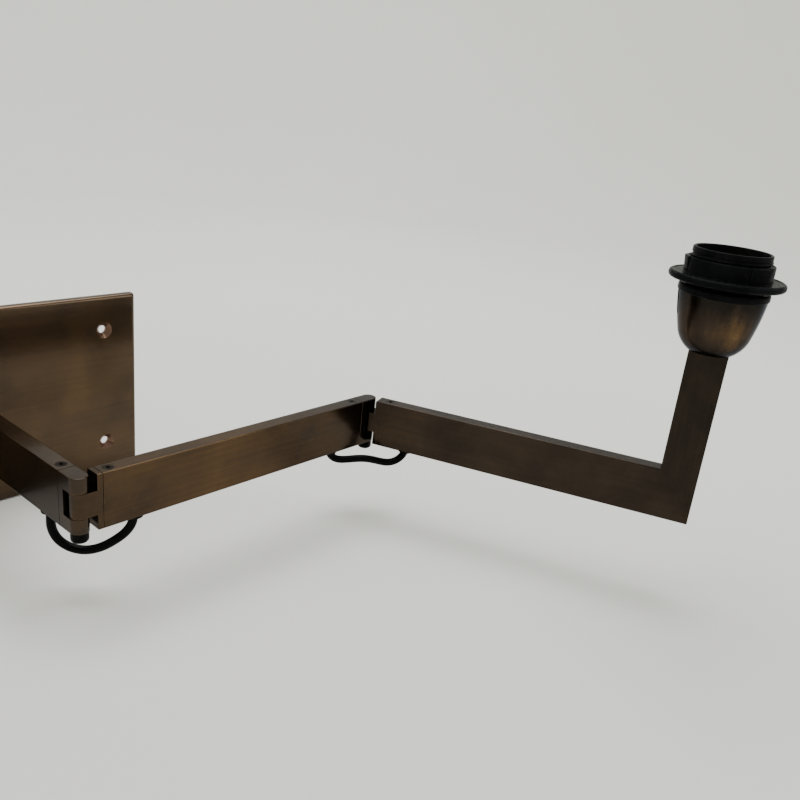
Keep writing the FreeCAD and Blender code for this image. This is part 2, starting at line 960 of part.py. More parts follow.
def shade_ring():
    """The ring that clamps a shade: a flange, a hub and its grip lugs."""
    body = new_body("shade_ring", ring_place)
    flange_top = "ring_bottom + ring_thick"
    corners = [
        ("ring_bore", "ring_bottom"),
        ("ring", "ring_bottom"),
        ("ring", flange_top),
        ("hub", flange_top),
        ("hub", "hub_top"),
        ("ring_bore", "hub_top"),
    ]
    revolve(body, corners)
    lower = ring_at(value("ring_bottom"), value("ring"))
    upper = ring_at(value(flange_top), value("ring"))
    round_edges(body, "ring_edge", lambda edge: lower(edge) or upper(edge))
    inside = "(ring_bore + hub) / 2"
    for step in range(int(value("lug_count"))):
        turn = Rotation(Vector(0, 0, 1), step * 360 / value("lug_count"))
        base = turn.multVec(Vector(value(inside), -value("lug_wide") / 2, 0))
        solid(
            body,
            "AdditiveBox",
            (base.x, base.y, flange_top),
            turn,
            Length=f"lug - {inside}",
            Width="lug_wide",
            Height=f"hub_top - ({flange_top})",
        )


# Leads


def route_shape(points, radius):
    """A tube of straight runs joined by arcs that touch them."""
    edges = []
    radii = []
    last = points[0]
    for before, here, after in zip(points, points[1:], points[2:]):
        back, ahead = (before - here), (after - here)
        shorter = min(back.Length, ahead.Length)
        back.normalize()
        ahead.normalize()
        half_turn = (math.pi - back.getAngle(ahead)) / 2
        cut = 0.45 * shorter
        start, stop = here + back * cut, here + ahead * cut
        size = cut / math.tan(half_turn)
        radii.append(size)
        inward = (back + ahead).normalize()
        centre = here + inward * (size / math.cos(half_turn))
        edges.append(Part.LineSegment(last, start).toShape())
        edges.append(Part.Arc(start, centre - inward * size, stop).toShape())
        last = stop
    edges.append(Part.LineSegment(last, points[-1]).toShape())
    path = Part.Wire(edges)
    along = (points[1] - points[0]).normalize()
    circle = Part.Wire([Part.Circle(points[0], along, radius).toShape()])
    tube = path.makePipeShell([circle], True, True)
    share = tube.Volume / (math.pi * radius**2 * path.Length)
    return tube, radii, path.Length, share


def lead(label, points):
    """A lead along a route, as a sub-part."""
    tube, radii, length, share = route_shape(points, value("lead"))
    body = doc.addObject("Part::Feature", label)
    body.Label = label
    body.Shape = tube
    body.Placement = Placement()
    PARTS.append(body)
    print(f"{label}: length {length:.1f}, volume share {share:.4f}")
    print("  radii", [round(size, 1) for size in radii])


def loop_points(loop, start, stop):
    """The loop's points in the frame, from the gland at start to the one at stop."""
    span = stop - start
    along = Vector(span).normalize()
    near = [start + along * place + Vector(0, 0, height) for place, height in loop[:-2]]
    far = [stop + along * place + Vector(0, 0, height) for place, height in loop[-2:]]
    return near + far


def in_link(link, route):
    """Points in the frame from distances along a link and heights."""
    return [link.multVec(Vector(along, 0, height)) for along, height in route]


def leads():
    stub_gland = further(stub_end, value("-gland_out"))
    near_gland = further(inner_start, value("tongue_gland_out"))
    far_gland = further(inner_start, value("arm_reach - arm_gland_out"))
    outer_gland = further(outer_start, value("tongue_gland_out"))
    lead("inner_loop", loop_points(INNER_LOOP, stub_gland, near_gland))
    lead("outer_loop", loop_points(OUTER_LOOP, far_gland, outer_gland))
    lead("stub_lead", in_link(stub_end, STUB_ROUTE))
    lead("inner_arm_lead", in_link(inner_start, INNER_ARM_ROUTE))
    lead("outer_arm_lead", in_link(outer_start, OUTER_ARM_ROUTE))


def knuckle(name, arm_end, arm_start, fork_gland):
    """The pieces of one knuckle: the fork's own, then the tongue's own."""
    fork(name + "_fork", arm_end)
    pivot_pin(name + "_pin", arm_end)
    pivot_cap(name + "_cap", arm_end)
    pivot_washer(name + "_lower_washer", arm_end, "-fork_gap / 2")
    pivot_washer(name + "_upper_washer", arm_end, "fork_gap / 2 - washer_thick")
    clamp_screw(name + "_fork_screw", arm_end, "-screw_out")
    gland(name + "_fork_gland", arm_end, fork_gland)
    tongue(name + "_tongue", arm_start)
    pivot_bush(name + "_bush", arm_start)
    clamp_screw(name + "_tongue_screw", arm_start, "screw_out")
    gland(name + "_tongue_gland", arm_start, "tongue_gland_out")


def build():
    backplate()
    inlet_bush()
    stub_block()
    block_screw("upper_block_screw", "block_screw_up")
    block_screw("lower_block_screw", "-block_screw_up")
    stub_tube()
    knuckle("inner_knuckle", stub_end, inner_start, "-gland_out")
    inner_arm_tube()
    knuckle("outer_knuckle", inner_end, outer_start, "-arm_gland_out")
    outer_arm_tube()
    post_tube()
    post_head()
    lamp_cup()
    cup_nut()
    lamp_insert()
    terminal_screw("left_terminal_screw", "terminal_out")
    terminal_screw("right_terminal_screw", "-terminal_out")
    screw_shell()
    centre_contact()
    lamp_sleeve()
    shade_ring()
    leads()


def check():
    """Stop on any feature that failed and on any sub-part that isn't one valid solid."""
    for item in doc.Objects:
        if "Invalid" in item.State or "Error" in item.State:
            raise ValueError(f"{item.Name} failed: {item.State}")
    for item in PARTS:
        shape = item.Shape
        if shape.isNull() or not shape.isValid() or len(shape.Solids) != 1:
            raise ValueError(f"{item.Label} is not one valid solid")


def export():
    os.makedirs("parts", exist_ok=True)
    for item in PARTS:
        item.Shape.exportStep(f"parts/{item.Label}.step")


build()
doc.recompute()
check()
export()
print(len(PARTS), "sub-parts")
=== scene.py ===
import json
import math

import bmesh
import bpy
from mathutils import Matrix, Vector

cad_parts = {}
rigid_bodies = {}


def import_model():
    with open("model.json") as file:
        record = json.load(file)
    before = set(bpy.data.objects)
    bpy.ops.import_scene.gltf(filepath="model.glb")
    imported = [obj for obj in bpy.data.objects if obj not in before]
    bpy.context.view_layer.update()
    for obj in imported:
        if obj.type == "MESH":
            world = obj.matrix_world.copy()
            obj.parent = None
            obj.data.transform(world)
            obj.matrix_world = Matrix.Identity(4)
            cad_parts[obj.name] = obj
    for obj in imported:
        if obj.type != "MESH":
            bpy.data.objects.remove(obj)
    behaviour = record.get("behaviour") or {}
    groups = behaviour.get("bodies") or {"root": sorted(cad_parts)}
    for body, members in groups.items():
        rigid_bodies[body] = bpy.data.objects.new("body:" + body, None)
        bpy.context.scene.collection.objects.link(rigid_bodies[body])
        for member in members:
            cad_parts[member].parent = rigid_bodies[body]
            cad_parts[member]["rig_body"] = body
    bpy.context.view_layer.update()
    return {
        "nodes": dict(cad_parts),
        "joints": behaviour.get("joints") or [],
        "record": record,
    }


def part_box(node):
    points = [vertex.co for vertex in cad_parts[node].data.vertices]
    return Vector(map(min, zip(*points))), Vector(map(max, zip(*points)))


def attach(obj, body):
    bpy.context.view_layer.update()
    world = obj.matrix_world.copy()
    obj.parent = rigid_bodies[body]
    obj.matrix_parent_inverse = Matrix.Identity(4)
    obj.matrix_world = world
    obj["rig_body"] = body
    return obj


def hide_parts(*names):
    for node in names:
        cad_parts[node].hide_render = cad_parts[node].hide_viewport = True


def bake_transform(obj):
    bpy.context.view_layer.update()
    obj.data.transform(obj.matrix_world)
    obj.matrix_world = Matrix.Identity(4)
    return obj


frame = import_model()

MM = 0.001
UP = Vector((0, 0, 1))

# Places from the frame: the two pivots and the lampholder's axis

JOINTS = {joint["name"]: Vector(joint["pos_m"]) for joint in frame["joints"]}
INNER_PIVOT = JOINTS["inner_swing"]
OUTER_PIVOT = JOINTS["outer_swing"]
HOLDER = JOINTS["ring_turn"]
HOLDER_FOOT = Vector((HOLDER.x, HOLDER.y, 0))


def middle_of(node):
    low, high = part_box(node)
    return (low + high) / 2


def under(node):
    """The point in the middle of the arms' height on a gland's axis."""
    centre = middle_of(node)
    return Vector((centre.x, centre.y, 0))


# Camera: where the photograph was taken from. The lens's length is in pixels of a picture
# PICTURE_PX wide, and the place is measured from the inner pivot at the arms' top.

LENS_PX = 803.86
PICTURE_PX = 800
SENSOR = 36
NEAR_CLIP = 0.01
PITCH = math.radians(19.89)
ROLL = math.radians(6.29)
YAW = math.radians(51.23)
ARM_TOP = 0.015
CAMERA_FROM_PIVOT = Vector((-0.17223, -0.32751, 0.17809))


def add_camera():
    data = bpy.data.cameras.new("camera")
    data.sensor_width = SENSOR
    data.lens = LENS_PX * SENSOR / PICTURE_PX
    data.clip_start = NEAR_CLIP
    camera = bpy.data.objects.new("camera", data)
    bpy.context.scene.collection.objects.link(camera)
    level_ahead = Vector((math.sin(YAW), math.cos(YAW), 0))
    ahead = level_ahead * math.cos(PITCH) - UP * math.sin(PITCH)
    level = Vector((math.cos(YAW), -math.sin(YAW), 0))
    above = level.cross(ahead)
    right = level * math.cos(ROLL) + above * math.sin(ROLL)
    up = above * math.cos(ROLL) - level * math.sin(ROLL)
    turn = Matrix((right, up, -ahead)).transposed().to_4x4()
    place = INNER_PIVOT + UP * ARM_TOP + CAMERA_FROM_PIVOT
    camera.matrix_world = Matrix.Translation(place) @ turn
    bpy.context.scene.camera = camera


# Meshes

CREASE = math.radians(38)


def new_piece(name, vertices, faces, material):
    """A smooth-shaded mesh object, with its creases sharp."""
    mesh = bpy.data.meshes.new(name)
    mesh.from_pydata(vertices, [], faces)
    mesh.update()
    draft = bmesh.new()
    draft.from_mesh(mesh)
    bmesh.ops.recalc_face_normals(draft, faces=draft.faces)
    draft.to_mesh(mesh)
    draft.free()
    mesh.shade_smooth()
    mesh.set_sharp_from_angle(angle=CREASE)
    mesh.materials.append(material)
    piece = bpy.data.objects.new(name, mesh)
    bpy.context.scene.collection.objects.link(piece)
    return piece


def rounded(corners, steps=5):
    """A closed outline of (radius, height) points from corners (radius, height, rounding)."""
    outline = []
    count = len(corners)
    for i, (x, y, size) in enumerate(corners):
        here = Vector((x, y))
        if not size:
            outline.append(here)
            continue
        back = (Vector(corners[i - 1][:2]) - here).normalized()
        ahead = (Vector(corners[(i + 1) % count][:2]) - here).normalized()
        half = back.angle(ahead) / 2
        cut = size / math.tan(half)
        centre = here + (back + ahead).normalized() * (size / math.sin(half))
        start, stop = here + back * cut - centre, here + ahead * cut - centre
        sweep = start.angle_signed(stop)
        for step in range(steps + 1):
            turn = Matrix.Rotation(-sweep * step / steps, 2)
            outline.append(centre + turn @ start)
    return outline


def even_turns(count):
    """Turns round a circle, the same distance apart."""
    return [2 * math.pi * step / count for step in range(count)]


def lathe(name, outline, material, turns, reach):
    """A closed outline in millimetres turned about the holder's axis.

    reach(turn, radius, height) gives the radius of a point at that turn."""
    vertices = []
    for turn in turns:
        for radius, height in outline:
            wide = reach(turn, radius, height)
            place = Vector((wide * math.cos(turn), wide * math.sin(turn), height)) * MM
            vertices.append(HOLDER_FOOT + place)
    count = len(outline)
    faces = []
    for step in range(len(turns)):
        low, high = step * count, (step + 1) % len(turns) * count
        for i in range(count):
            j = (i + 1) % count
            faces.append((low + i, high + i, high + j, low + j))
    return new_piece(name, vertices, faces, material)


def stack(low, high, step):
    """Heights from low to high, about step apart."""
    count = max(1, round(abs(high - low) / step))
    return [low + (high - low) * i / count for i in range(count + 1)]


# Lampholder, in millimetres from the middle height of the arms

AROUND = 180
BORE = 18.4
SLEEVE_FOOT = [
    (BORE, 105, 0.3),
    (19.3, 105, 0.3),
    (20.9, 118, 0),
    (23.4, 118, 0.9),
    (23.4, 122, 1.2),
    (21.6, 122, 0.3),
    (21.2, 121.4, 0.3),
    (20.1, 121.4, 0.4),
]
NECK_START, NECK_STOP = 123.4, 139.2
NECK_STEP = 0.2
NECK_MIDDLE = 130
NECK_SKIN = 0.8
THREAD_PITCH = 2.5
THREAD_CREST = 20.42
THREAD_ROOT = 19.65
THREAD_SQUARE = 2.2
THREAD_RUN_IN, THREAD_RUN_OUT = 0.8, 0.5
CREST_TURN, CREST_HEIGHT = math.radians(288), 138.0
LIP = 20.1
LIP_TOP = 141.7
LIP_OUTER_ROUND, LIP_INNER_ROUND = 0.75, 0.7
BORE_TOP, BORE_LOW, BORE_STEP = LIP_TOP - 1.5, 106.5, 4


def thread(turn, radius, height):
    """The neck's outside: a rounded helical thread that runs out under the lip."""
    if not NECK_START < height < NECK_STOP or radius < BORE + NECK_SKIN:
        return radius
    phase = (height - CREST_HEIGHT) / THREAD_PITCH - (turn - CREST_TURN) / (2 * math.pi)
    square = math.tanh(THREAD_SQUARE * math.cos(2 * math.pi * phase))
    wave = square / math.tanh(THREAD_SQUARE)
    rise = (THREAD_CREST + THREAD_ROOT) / 2 + wave * (THREAD_CREST - THREAD_ROOT) / 2
    run_out = (NECK_STOP - height) / THREAD_RUN_OUT
    run_in = (height - NECK_START) / THREAD_RUN_IN
    return radius + (rise - radius) * min(1, run_out, run_in)


def add_sleeve(material):
    """The black sleeve: a foot in the cup, a rim on its mouth and the threaded neck."""
    inside, outside = (BORE, NECK_MIDDLE, 0), (LIP, NECK_MIDDLE, 0)
    foot = rounded(SLEEVE_FOOT + [outside, inside])[:-2]
    neck = [Vector((LIP, height)) for height in stack(NECK_START, NECK_STOP, NECK_STEP)]
    lip_corners = [(LIP, LIP_TOP, LIP_OUTER_ROUND), (BORE, LIP_TOP, LIP_INNER_ROUND)]
    lip = rounded([inside, outside] + lip_corners)[2:]
    bore = [Vector((BORE, height)) for height in stack(BORE_TOP, BORE_LOW, BORE_STEP)]
    sleeve = lathe("sleeve", foot + neck + lip + bore, material, even_turns(AROUND), thread)
    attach(sleeve, "outer_arm")
    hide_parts("lamp_sleeve")


HUB = 22.3
HUB_TOP = 136.4
HUB_MOUTH = HUB_TOP - 0.5
CROWN = 0.9
FLANGE = 29.7
FLANGE_LOW, FLANGE_HIGH = 124.4, 128.3
FLANGE_ROUND = 1.7
FLANGE_BEAD = 27.6
FLANGE_FLAT = FLANGE_HIGH - 0.3
RING_BORE = 20.5
LUG_SKIN = HUB - 1
LUGS = 3
LUG = 23.2
LUG_HALF = 5.8
LUG_EDGE = 0.5
LUG_GROOVE = 0.6
LUG_FOOT = FLANGE_HIGH + 0.2
LUG_STEPS = 16
LUG_STEP = LUG_EDGE / 10
LEAST_TURN = 0.012


def lug_rise(turn):
    """1 on a grip lug and 0 between the lugs, with a shallow groove beside each lug."""
    apart = 2 * math.pi / LUGS
    off = abs((turn + apart / 2) % apart - apart / 2) * LUG
    step = min(1, max(0, (LUG_HALF + LUG_EDGE / 2 - off) / LUG_EDGE))
    beside = max(0, 1 - abs(off - LUG_HALF - LUG_EDGE) / LUG_EDGE)
    return step * step * (3 - 2 * step) - LUG_GROOVE * beside


def grip(turn, radius, height):
    """The hub's outside, with the grip lugs standing out of it."""
    if height < LUG_FOOT or radius < LUG_SKIN:
        return radius
    crown = min(1, (radius - LUG_SKIN) / CROWN)
    return radius + (LUG - HUB) * lug_rise(turn) * crown


def lug_turns():
    """Turns round the ring, close together at the sides of each lug."""
    turns = set()
    for centre in even_turns(LUGS):
        for side in (-1, 1):
            edge = centre + side * LUG_HALF / LUG
            for step in range(-LUG_STEPS, LUG_STEPS + 1):
                turns.add(round((edge + step * LUG_STEP / LUG) % (2 * math.pi), 6))
    near = sorted(turns)
    for turn in even_turns(AROUND):
        if min(abs(turn - other) for other in near) > LEAST_TURN:
            turns.add(turn)
    return sorted(turns)


def add_shade_ring(material):
    """The shade ring: a thick round-edged flange and a hub with three grip lugs."""
    outline = rounded(
        [
            (RING_BORE, FLANGE_LOW, 0.5),
            (FLANGE, FLANGE_LOW, FLANGE_ROUND),
            (FLANGE, FLANGE_HIGH, FLANGE_ROUND),
            (FLANGE_BEAD, FLANGE_HIGH, 0.4),
            (FLANGE_BEAD - 0.3, FLANGE_FLAT, 0.3),
            (HUB + 0.1, FLANGE_FLAT, 0.35),
            (HUB, HUB_TOP, 0.7),
            (HUB - 1.1, HUB_TOP, 0.2),
            (HUB - 1.3, HUB_MOUTH, 0.2),
            (RING_BORE, HUB_MOUTH, 0.2),
        ]
    )
    ring = lathe("grip_ring", outline, material, lug_turns(), grip)
    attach(ring, "shade_ring")
    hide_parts("shade_ring")


SHELL = 13.15
SHELL_LOW, SHELL_HIGH = 112, 135.5
SHELL_PITCH = 3.62
SHELL_WAVE = 0.32
SHELL_WALL = 0.42
SHELL_STEP = 0.3
SHELL_LIP = 10
SHELL_PLAIN = 1
SHELL_FADE = 1.5


def roll_thread(turn, radius, height):
    """The shell's rolled thread, which fades out at both ends."""
    low, high = SHELL_LOW + SHELL_PLAIN, SHELL_HIGH - SHELL_PLAIN
    if radius < SHELL - 1 or not low < height < high:
        return radius
    phase = height / SHELL_PITCH - turn / (2 * math.pi)
    fade = min(1, (height - low) / SHELL_FADE, (high - height) / SHELL_FADE)
    return radius + SHELL_WAVE * math.sin(2 * math.pi * phase) * fade


def add_screw_shell(material):
    """The thin metal shell for the bulb, with its rolled thread."""
    floor = SHELL_LOW + SHELL_WALL
    heights = stack(floor, SHELL_HIGH, SHELL_STEP)
    inside = [Vector((SHELL, height)) for height in heights]
    outside = [Vector((SHELL + SHELL_WALL, height)) for height in reversed(heights)]
    corners = [(SHELL + SHELL_WALL, SHELL_LOW), (SHELL_LIP, SHELL_LOW), (SHELL_LIP, floor)]
    foot = [Vector(corner) for corner in corners]
    outline = inside + outside + foot
    shell = lathe("bulb_shell", outline, material, even_turns(AROUND), roll_thread)
    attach(shell, "outer_arm")
    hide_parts("screw_shell")


# Cords: the two flexible leads. Each point is the distance in metres along the straight line
# between the two glands, and the height. The last two distances count from the far gland.

INNER_LOOP = [
    (0, -0.0115),
    (0, -0.0183),
    (-0.0003, -0.0258),
    (0.0029, -0.0328),
    (0.0092, -0.0371),
    (0.0167, -0.0382),
    (0.0242, -0.036),
    (0.031, -0.0315),
    (0.0372, -0.026),
    (0, -0.0189),
    (0, -0.0115),
]
OUTER_LOOP = [
    (0, -0.0115),
    (0, -0.0157),
    (0.0024, -0.0194),
    (0.0066, -0.0213),
    (0.012, -0.0213),
    (0.019, -0.0207),
    (0.0261, -0.021),
    (0.0331, -0.0228),
    (0.0393, -0.0242),
    (0.0445, -0.0232),
    (0.0487, -0.02),
    (0, -0.0157),
    (0, -0.0115),
]
INNER_LENGTH = 0.0762
OUTER_LENGTH = 0.0653
LEAD = 0.0047
LEAD_AROUND = 28
SPLINE_STEPS = 8
SPLINE_ORDER = 3


def loop_points(loop, start, stop):
    along = (stop - start).normalized()
    near = [start + along * place + UP * height for place, height in loop[:-2]]
    far = [stop + along * place + UP * height for place, height in loop[-2:]]
    return near + far


def smooth_line(name, points):
    """Points along the NURBS spline that has those control points."""
    curve = bpy.data.curves.new(name, "CURVE")
    curve.dimensions = "3D"
    curve.resolution_u = SPLINE_STEPS
    spline = curve.splines.new("NURBS")
    spline.points.add(len(points) - 1)
    for point, place in zip(spline.points, points):
        point.co = (*place, 1)
    spline.order_u = SPLINE_ORDER
    spline.use_endpoint_u = True
    draft = bpy.data.objects.new(name, curve)
    mesh = bpy.data.meshes.new_from_object(draft)
    line = [vertex.co.copy() for vertex in mesh.vertices]
    bpy.data.objects.remove(draft)
    bpy.data.meshes.remove(mesh)
    return line


def tube(name, line, radius, material):
    """A round tube along a line, with closed ends."""
    around = LEAD_AROUND
    vertices, faces = [], []
    side = Vector((1, 0, 0))
    for i, place in enumerate(line):
        ahead = (line[min(i + 1, len(line) - 1)] - line[max(i - 1, 0)]).normalized()
        side = (side - ahead * side.dot(ahead)).normalized()
        other = ahead.cross(side)
        for turn in even_turns(around):
            vertices.append(place + (side * math.cos(turn) + other * math.sin(turn)) * radius)
    for i in range(len(line) - 1):
        for step in range(around):
            after = (step + 1) % around
            low, high = i * around, (i + 1) * around
            faces.append((low + step, low + after, high + after, high + step))
    faces.append(tuple(range(around)))
    last = (len(line) - 1) * around
    faces.append(tuple(range(last, last + around)))
    return new_piece(name, vertices, faces, material)


def add_cord(node, knuckle, loop, length, body_a, body_b, material):
    """A lead that hangs from the fork's gland to the tongue's."""
    start = under(knuckle + "_fork_gland")
    stop = under(knuckle + "_tongue_gland")
    points = loop_points(loop, start, stop)
    line = smooth_line(node, points)
    cord = tube(node + "_lead", line, LEAD / 2, material)
    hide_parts(node)
    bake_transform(cord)


# Materials

BACK_SKIN = 0.0002
EDGE_SAMPLES = 6
EDGE_FULL, EDGE_NONE = 0.72, 0.995


class Paint:
    """One material's node tree, built step by step."""

    def __init__(self, name, **sockets):
        self.material = bpy.data.materials.new(name)
        self.material.use_nodes = True
        self.tree = self.material.node_tree
        self.shader = self.tree.nodes["Principled BSDF"]
        for socket, setting in sockets.items():
            self.shader.inputs[socket.replace("_", " ")].default_value = setting

    def add(self, kind, inputs=None, **settings):
        """A node, with settings on it and numbers or links on its inputs."""
        node = self.tree.nodes.new("ShaderNode" + kind)
        for name, setting in settings.items():
            setattr(node, name, setting)
        for name, source in (inputs or {}).items():
            self.feed(node.inputs[name], source)
        return node

    def feed(self, socket, source):
        if isinstance(source, bpy.types.NodeSocket):
            self.tree.links.new(source, socket)
        else:
            socket.default_value = source

    def place(self, scale=(1, 1, 1), turn=0):
        """The object's own coordinates in metres, turned about Z and stretched."""
        coordinates = self.add("TexCoord")
        turned = self.add(
            "Mapping", {"Vector": coordinates.outputs["Object"], "Rotation": (0, 0, turn)}
        )
        stretched = self.add("Mapping", {"Vector": turned.outputs[0], "Scale": scale})
        return stretched.outputs[0]

    def noise(self, vector, scale, detail=3, rough=0.5, distortion=0):
        sockets = {
            "Vector": vector,
            "Scale": scale,
            "Detail": detail,
            "Roughness": rough,
            "Distortion": distortion,
        }
        return self.add("TexNoise", sockets).outputs["Fac"]

    def ramp(self, source, *stops):
        """A colour ramp through (place, colour) stops."""
        node = self.add("ValToRGB", {"Fac": source})
        elements = node.color_ramp.elements
        while len(elements) < len(stops):
            elements.new(1)
        for element, (position, colour) in zip(elements, stops):
            element.position = position
            element.color = (*colour, 1)
        return node.outputs["Color"]

    def spread(self, source, low, high, from_low=0, from_high=1):
        """The source mapped from one range to another."""
        sockets = {
            "Value": source,
            "From Min": from_low,
            "From Max": from_high,
            "To Min": low,
            "To Max": high,
        }
        return self.add("MapRange", sockets).outputs["Result"]

    def math(self, operation, first, second=0.0):
        node = self.add("Math", operation=operation)
        self.feed(node.inputs[0], first)
        self.feed(node.inputs[1], second)
        return node.outputs[0]

    def mix(self, share, first, second):
        """A mix of two colours."""
        node = self.add("Mix", data_type="RGBA")
        self.feed(node.inputs["Factor"], share)
        self.feed(node.inputs[6], first)
        self.feed(node.inputs[7], second)
        return node.outputs[2]

    def sink_mask(self, sinks):
        """1 in the four screw holes, behind the plate's front and before its back, else 0.

        sinks holds the holes' distances from the middle in x and z, their radius, and the depth
        just behind the front where the bare metal starts."""
        x, z, radius, front = sinks
        centred = self.add("VectorMath", operation="ABSOLUTE")
        self.feed(centred.inputs[0], self.place())
        shifted = self.add("VectorMath", operation="SUBTRACT")
        self.feed(shifted.inputs[0], centred.outputs[0])
        shifted.inputs[1].default_value = (x, 0, z)
        parts = self.add("SeparateXYZ", {"Vector": shifted.outputs[0]})
        flat = self.add("CombineXYZ", {"X": parts.outputs["X"], "Z": parts.outputs["Z"]})
        distance = self.add("VectorMath", operation="LENGTH")
        self.feed(distance.inputs[0], flat.outputs[0])
        inside = self.math("LESS_THAN", distance.outputs["Value"], radius)
        behind = self.math("LESS_THAN", parts.outputs["Y"], front)
        before = self.math("GREATER_THAN", parts.outputs["Y"], BACK_SKIN)
        return self.math("MULTIPLY", inside, self.math("MULTIPLY", behind, before))

    def bump(self, height, distance, strength):
        """Fine relief, distance metres deep."""
        sockets = {"Height": height, "Distance": distance, "Strength": strength}
        self.feed(self.shader.inputs["Normal"], self.add("Bump", sockets).outputs[0])

    def edges(self, radius):
        """A mask that is 1 on sharp outer edges and 0 on flat faces."""
        bevel = self.add("Bevel", {"Radius": radius}, samples=EDGE_SAMPLES)
        normal = self.add("NewGeometry").outputs["Normal"]
        product = self.add("VectorMath", operation="DOT_PRODUCT")
        self.feed(product.inputs[0], bevel.outputs[0])
        self.feed(product.inputs[1], normal)
        return self.spread(product.outputs["Value"], 1, 0, EDGE_FULL, EDGE_NONE)


# Bronze, from its darkest patina to bare metal
SHADE = (0.014, 0.0112, 0.0085)
DARK = (0.036, 0.0252, 0.0172)
BROWN = (0.080, 0.0485, 0.0240)
GOLD = (0.150, 0.094, 0.0420)
# Lighter edges: partly rubbed bare metal, partly painted edge highlight
RUBBED_AND_HIGHLIT = (0.24, 0.155, 0.085)
COPPER = (0.17, 0.097, 0.063)
# How much light the metal gives back at a glancing angle
EDGE_TINT = (0.7, 0.7, 0.71, 1)
CUP_EDGE_TINT = (0.5, 0.52, 0.55, 1)
# Sizes of the patina's patterns, in waves per metre
CLOUDS, MOTTLE, STREAKS, BRUSHING = 21, 420, 500, 3200
# How far each pattern moves the tone either way
CLOUD_TONE, STREAK_TONE, MOTTLE_TONE = 0.3, 0.09, 0.05
STRETCH = 0.03
WORN_EDGE = 0.0006
RELIEF = 0.00003


def bronze(
    name,
    tone,
    turn=0,
    upright=False,
    wear=0.5,
    rough=(0.12, 0.22),
    sinks=None,
    metal=1.0,
    edge=EDGE_TINT,
):
    """Dark antique bronze patina under lacquer. The tone runs from 0, nearly black, to 1, golden.

    tone is a number, or a function that gives a socket; on the cup that function is painted
    reflection. turn lays the brushing along an arm.
    metal and edge are the shader's metallic share and its tint at a glancing angle."""
    paint = Paint(
        name,
        Metallic=metal,
        Specular_Tint=edge,
        Coat_Weight=0.1,
        Coat_Roughness=0.06,
        Coat_IOR=1.45,
    )
    plain = paint.place()
    grain = paint.place(scale=(1, 1, STRETCH) if upright else (STRETCH, 1, 1), turn=turn)
    clouds = paint.noise(plain, CLOUDS, detail=5, rough=0.55, distortion=0.5)
    mottle = paint.noise(plain, MOTTLE, detail=3, rough=0.6)
    streaks = paint.noise(grain, STREAKS, detail=3)
    brush = paint.noise(grain, BRUSHING, detail=2)
    level = paint.math(
        "ADD",
        paint.spread(clouds, -CLOUD_TONE, CLOUD_TONE),
        tone(paint) if callable(tone) else tone,
    )
    level = paint.math("ADD", level, paint.spread(streaks, -STREAK_TONE, STREAK_TONE))
    level = paint.math("ADD", level, paint.spread(mottle, -MOTTLE_TONE, MOTTLE_TONE))
    patina = paint.ramp(level, (0.1, SHADE), (0.38, DARK), (0.62, BROWN), (0.88, GOLD))
    # Lighter edges, partly real wear and partly painted edge highlight
    wear_and_highlight_share = paint.spread(mottle, 0, wear, 0.35, 0.6)
    rubbed_and_highlit_edge = paint.math("MULTIPLY", paint.edges(WORN_EDGE), wear_and_highlight_share)
    colour = paint.mix(rubbed_and_highlit_edge, patina, (*RUBBED_AND_HIGHLIT, 1))
    if sinks:
        colour = paint.mix(paint.sink_mask(sinks), colour, (*COPPER, 1))
    paint.feed(paint.shader.inputs["Base Color"], colour)
    gloss = paint.math("ADD", paint.spread(clouds, *rough), paint.spread(brush, -0.03, 0.05))
    paint.feed(paint.shader.inputs["Roughness"], gloss)
    height = paint.math("ADD", brush, paint.math("MULTIPLY", mottle, 0.6))
    paint.bump(height, RELIEF, 0.45)
    return paint.material


def along_arm(start, end, turn, *tones):
    """A tone that drifts along an arm, through evenly spaced tones from its start to its end."""

    def tone(paint):
        place = paint.add("SeparateXYZ", {"Vector": paint.place(turn=turn)}).outputs["X"]
        near = start.x * math.cos(turn) - start.y * math.sin(turn)
        far = end.x * math.cos(turn) - end.y * math.sin(turn)
        share = paint.spread(place, 0, 1, near, far)
        last = len(tones) - 1
        return paint.ramp(share, *[(i / last, (level,) * 3) for i, level in enumerate(tones)])

    return tone


POST_LOW, POST_HIGH = -0.015, 0.08


def up_post(low_tone, high_tone):
    """A tone that drifts up the post."""

    def tone(paint):
        height = paint.add("SeparateXYZ", {"Vector": paint.place()}).outputs["Z"]
        return paint.spread(height, low_tone, high_tone, POST_LOW, POST_HIGH)

    return tone


# The cup's painted reflection: its tone at each height in metres
CUP_REFLECTION_TONES = [
    (0.0865, 0.05),
    (0.0895, 0.08),
    (0.094, 0.32),
    (0.100, 0.46),
    (0.106, 0.38),
    (0.112, 0.22),
    (0.118, 0.02),
]
# Soft upright streaks of painted reflection round the cup
CUP_REFLECTION_BANDS = 120
CUP_REFLECTION_STRETCH = 0.12
CUP_REFLECTION_BAND_TONE = 0.35


